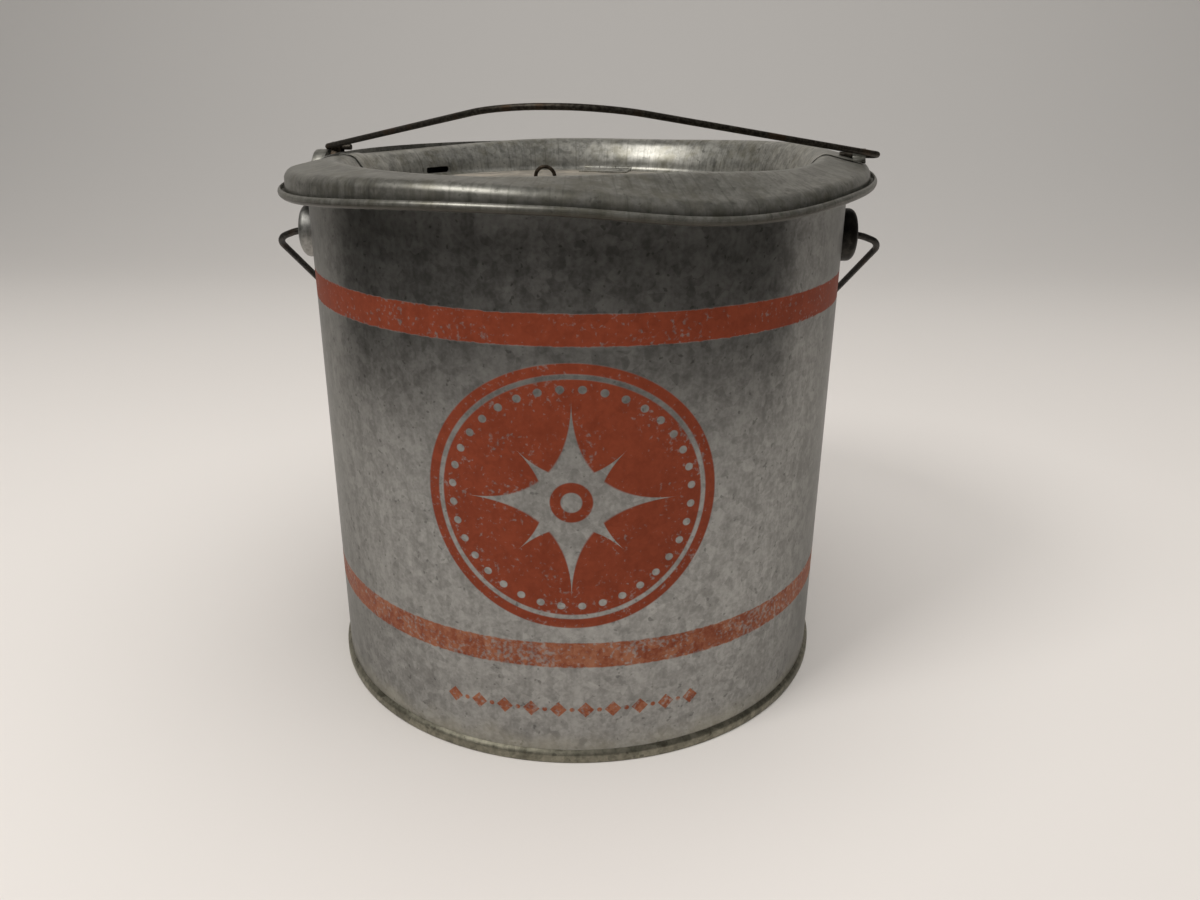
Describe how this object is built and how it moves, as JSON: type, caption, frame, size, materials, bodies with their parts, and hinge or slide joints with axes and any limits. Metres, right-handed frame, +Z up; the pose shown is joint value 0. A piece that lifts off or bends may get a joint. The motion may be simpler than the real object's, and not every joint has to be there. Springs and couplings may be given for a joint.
{
  "type": "minnow bucket",
  "caption": "Round galvanised bait pail with a wire bail, holding a lift-out float with a formed collar, its own bail, a hinged lid and a pierced live well.",
  "frame": {"origin": "centre of the pail's foot, on the floor", "axes": "+X along the pail bail's pivots to the right in the picture, +Y to the back, +Z up"},
  "size_m": [0.2744, 0.2528, 0.2534],
  "materials": {
    "printed_wall": "mottled zinc with two painted red stripes and a red printed panel",
    "galvanised_sheet": "dull mottled zinc",
    "stained_collar": "olive-stained zinc",
    "lid_sheet": "dull tan-stained zinc",
    "black_wire": "blackened iron wire",
    "brown_wire": "dark rusted iron wire",
    "catch_wire": "dull bright wire"
  },
  "bodies": {
    "pail": {"pail_wall": "printed_wall", "pail_rim_wire": "black_wire", "pail_bottom": "galvanised_sheet", "pail_ear_left": "galvanised_sheet", "pail_ear_right": "galvanised_sheet"},
    "pail_bail": {"pail_bail": "black_wire"},
    "float": {"float_collar": "stained_collar", "float_ledge": "stained_collar", "collar_bead_wire": "black_wire", "throat_tube": "galvanised_sheet", "air_chamber_floor": "galvanised_sheet", "well_band": "galvanised_sheet", "well_screen": "galvanised_sheet", "well_floor": "galvanised_sheet", "float_ear_left": "galvanised_sheet", "float_ear_right": "galvanised_sheet", "ledge_hinge_leaf": "galvanised_sheet", "hinge_pin": "catch_wire", "ledge_leaf_rivets": "galvanised_sheet"},
    "float_bail": {"float_bail": "brown_wire"},
    "lid": {"lid_plate": "lid_sheet", "lid_hinge_leaf": "galvanised_sheet", "lid_leaf_rivets": "galvanised_sheet", "catch_guide": "galvanised_sheet", "catch_guide_rivets": "galvanised_sheet"},
    "lid_catch": {"catch_wire": "catch_wire"}
  },
  "joints": [
    {"name": "pail_bail_swing", "type": "hinge", "parent": "pail", "child": "pail_bail", "pos_m": [0, 0, 0.196], "axis": [1, 0, 0], "range_deg": [0, 256]},
    {"name": "float_lift", "type": "slide", "parent": "pail", "child": "float", "axis": [0, 0, 1], "range_m": [0, 0.235]},
    {"name": "float_bail_swing", "type": "hinge", "parent": "float", "child": "float_bail", "pos_m": [0, 0, 0.23152], "axis": [-0.9863, 0.165, 0], "range_deg": [0, 145]},
    {"name": "lid_swing", "type": "hinge", "parent": "float", "child": "lid", "pos_m": [0.0132, 0.0789, 0.21636], "axis": [-0.9863, 0.165, 0], "range_deg": [0, 105]},
    {"name": "catch_slide", "type": "slide", "parent": "lid", "child": "lid_catch", "axis": [-0.165, -0.9863, 0], "range_m": [0, 0.005]}
  ]
}
